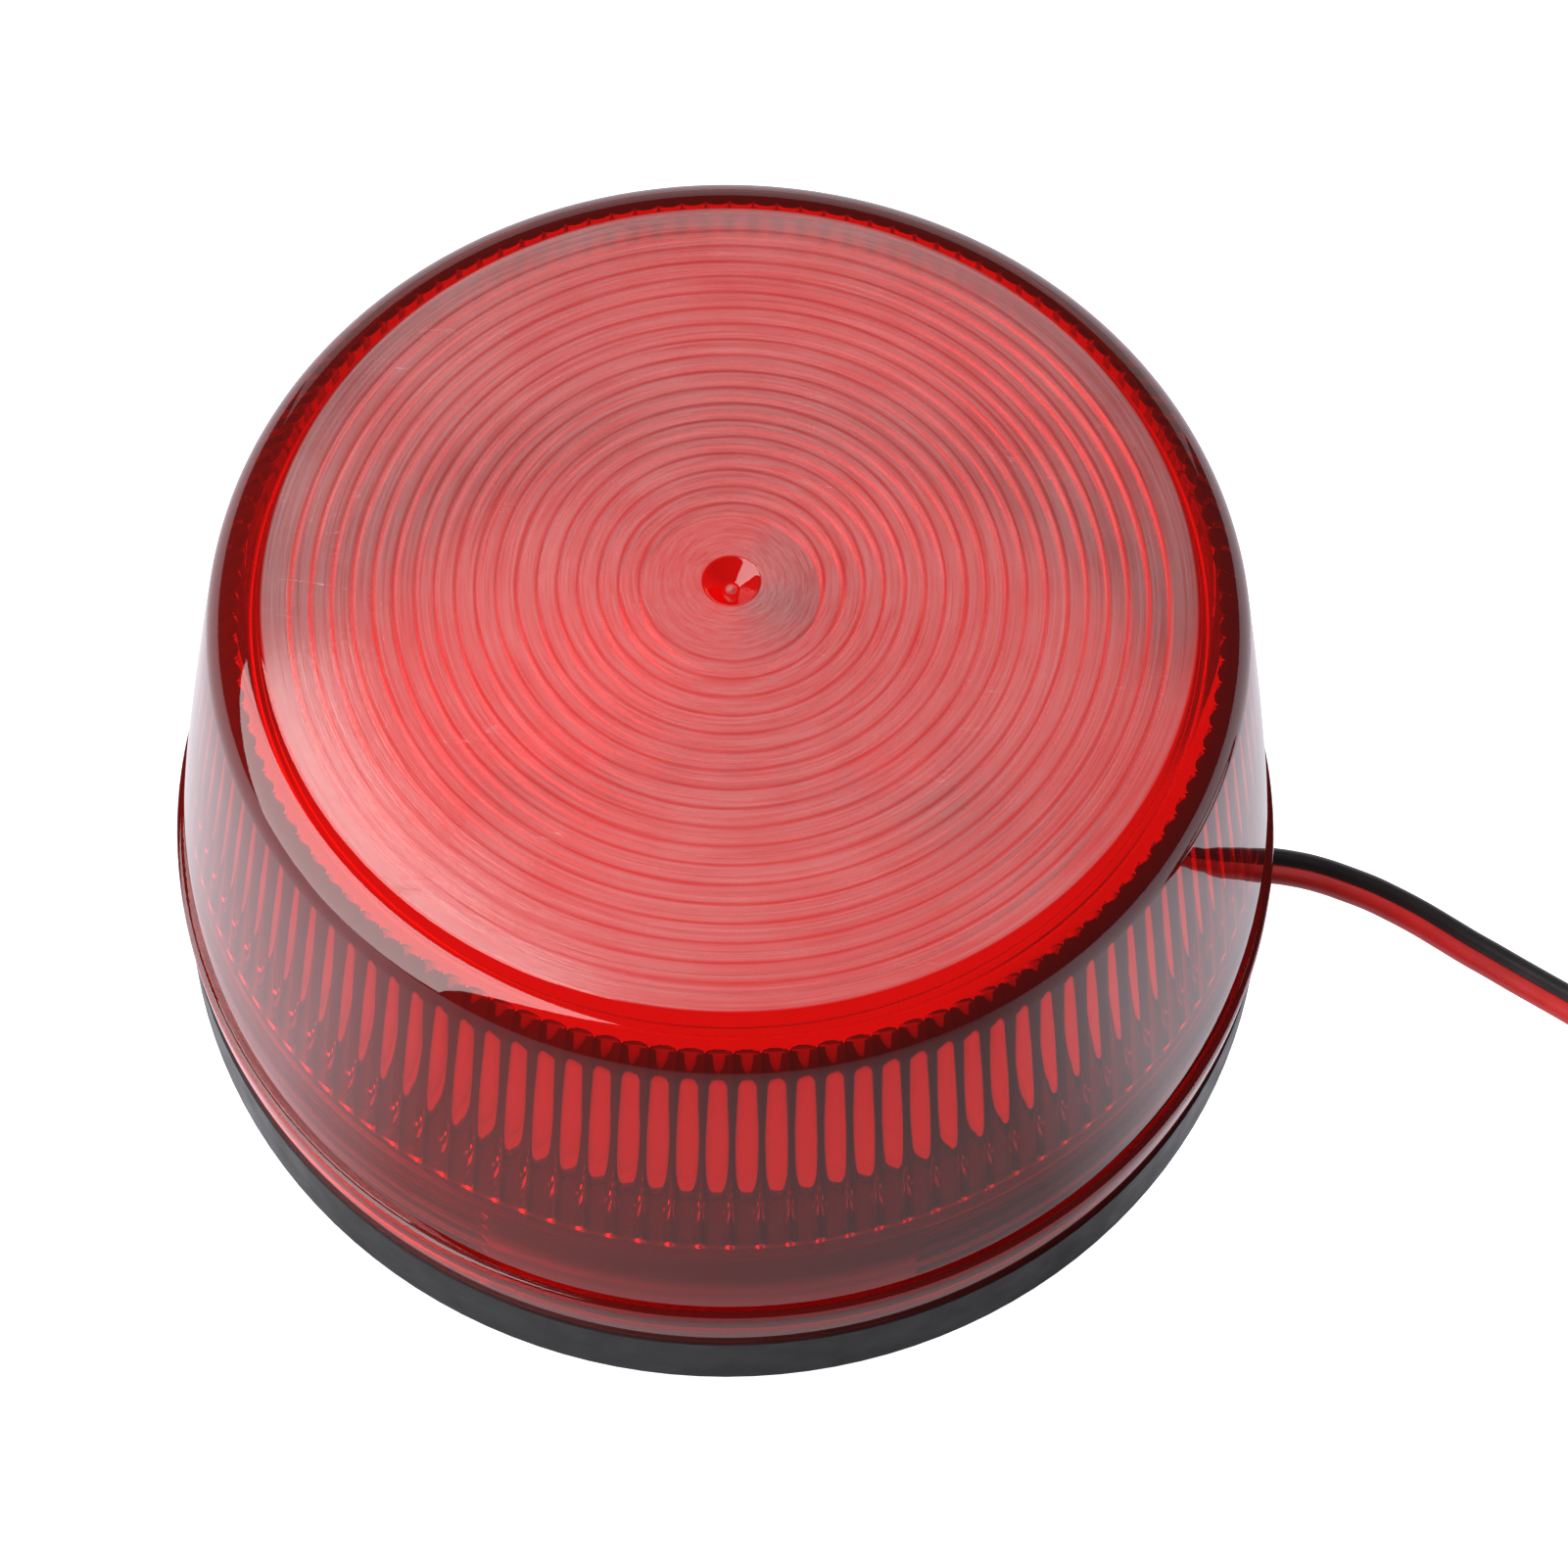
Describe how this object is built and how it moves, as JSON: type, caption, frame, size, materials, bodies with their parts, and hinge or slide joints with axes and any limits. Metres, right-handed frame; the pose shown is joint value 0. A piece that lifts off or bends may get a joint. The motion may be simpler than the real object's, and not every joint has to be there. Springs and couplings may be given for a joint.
{
  "type": "strobe alarm beacon",
  "caption": "Round strobe alarm beacon: a ribbed translucent red dome screwed on a shallow black base, with a flash tube inside and a twin lead from its side.",
  "frame": {"origin": "centre of the base's mounting face", "axes": "+Z from the mounting face to the top of the dome, +X towards the lead's exit"},
  "size_m": [0.1321, 0.073, 0.0364],
  "materials": {
    "black_abs": "satin moulded black",
    "red_polycarbonate": "translucent, turned top, polished inside",
    "black_rubber": "dull",
    "white_styrene": "smooth white, slightly glossy",
    "board_laminate": "brown paper laminate",
    "zinc_steel": "zinc plated",
    "tube_glass": "clear quartz",
    "nickel": "nickel plated",
    "ferrite": "sintered dark grey",
    "orange_tape": "orange varnished film",
    "cream_nylon": "moulded nylon",
    "yellow_tape": "yellow polyester tape",
    "capacitor_sleeve": "shrunk sleeve",
    "ochre_epoxy": "dipped epoxy",
    "black_epoxy": "moulded epoxy",
    "tan_lacquer": "lacquered",
    "solder": "bright tin",
    "red_pvc": "satin insulation",
    "black_pvc": "satin insulation",
    "twin_pvc": "satin insulation, one strand red and one black",
    "white_nylon": "moulded nylon",
    "tinned_copper": "tinned strands"
  },
  "bodies": {
    "base": {"base": "black_abs", "reflector": "white_styrene", "circuit_board": "board_laminate", "board_screws": "zinc_steel", "flash_tube": "tube_glass", "tube_caps": "nickel", "tube_leads": "nickel", "trigger_wire": "nickel", "trigger_core": "ferrite", "trigger_winding": "orange_tape", "transformer_core": "ferrite", "transformer_bobbin": "cream_nylon", "transformer_winding": "yellow_tape", "flash_capacitor": "capacitor_sleeve", "film_capacitor": "ochre_epoxy", "timing_capacitor": "capacitor_sleeve", "switching_transistor": "black_epoxy", "thyristor": "black_epoxy", "rectifier_diodes": "black_epoxy", "resistors": "tan_lacquer", "solder_joints": "solder", "inner_lead_red": "red_pvc", "inner_lead_black": "black_pvc", "strain_grommet": "black_rubber", "lead": "twin_pvc", "lead_coil": "twin_pvc", "lead_tie": "white_nylon", "lead_tail_red": "red_pvc", "lead_tail_black": "black_pvc", "lead_tips": "tinned_copper"},
    "seal": {"seal_ring": "black_rubber"},
    "dome": {"dome": "red_polycarbonate"}
  },
  "joints": [
    {"name": "dome_lift", "type": "slide", "parent": "base", "child": "seal", "axis": [0, 0, 1], "range_m": [0, 0.00626]},
    {"name": "dome_twist", "type": "hinge", "parent": "seal", "child": "dome", "pos_m": [0, 0, 0.02], "axis": [0, 0, 1], "range_deg": [0, 1500]}
  ],
  "couplings": [
    {"joint": "dome_lift", "follows": "dome_twist", "m_per_rad": 0.00023873}
  ]
}
